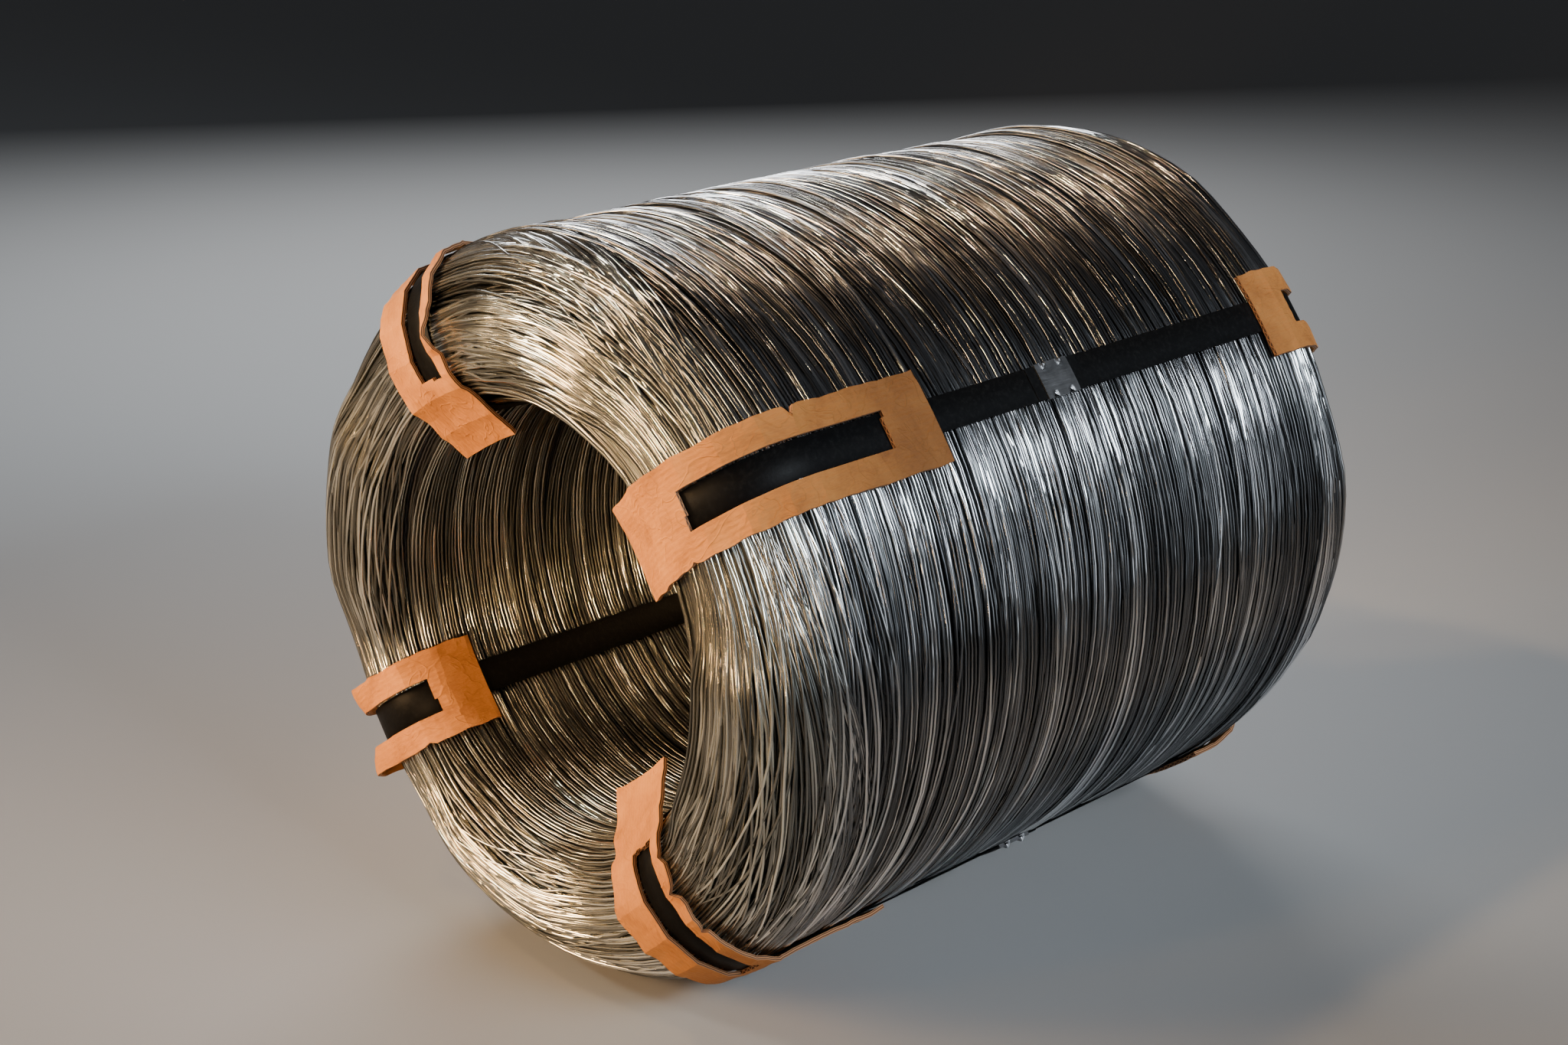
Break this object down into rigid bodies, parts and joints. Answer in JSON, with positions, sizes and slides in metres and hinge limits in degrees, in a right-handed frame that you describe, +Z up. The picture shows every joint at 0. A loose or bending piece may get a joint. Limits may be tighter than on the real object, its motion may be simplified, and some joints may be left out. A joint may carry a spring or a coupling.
{
  "type": "wire coil",
  "caption": "Coil of galvanized wire lying on its side, tied through its eye with black steel straps over bent cardboard edge protectors.",
  "frame": {"origin": "on the floor under the middle of the coil", "axes": "+Z up, the coil's axis along Y with the end that has the long protectors at -Y, +X to the right seen from that end"},
  "size_m": [0.6999, 0.8104, 0.7],
  "materials": {
    "galvanized_wire": "bright galvanized round wire, wound in loose parallel turns",
    "black_strap": "satin black steel strapping",
    "seal_steel": "dull grey steel strapping seal",
    "cardboard": "brown corrugated board, bent and torn"
  },
  "bodies": {
    "root": {"wire_coil": "galvanized_wire", "strap_1": "black_strap", "seal_1": "seal_steel", "near_protector_1": "cardboard", "far_protector_1": "cardboard", "strap_2": "black_strap", "seal_2": "seal_steel", "near_protector_2": "cardboard", "far_protector_2": "cardboard", "strap_3": "black_strap", "seal_3": "seal_steel", "near_protector_3": "cardboard", "far_protector_3": "cardboard", "strap_4": "black_strap", "seal_4": "seal_steel", "near_protector_4": "cardboard", "far_protector_4": "cardboard"}
  },
  "joints": []
}
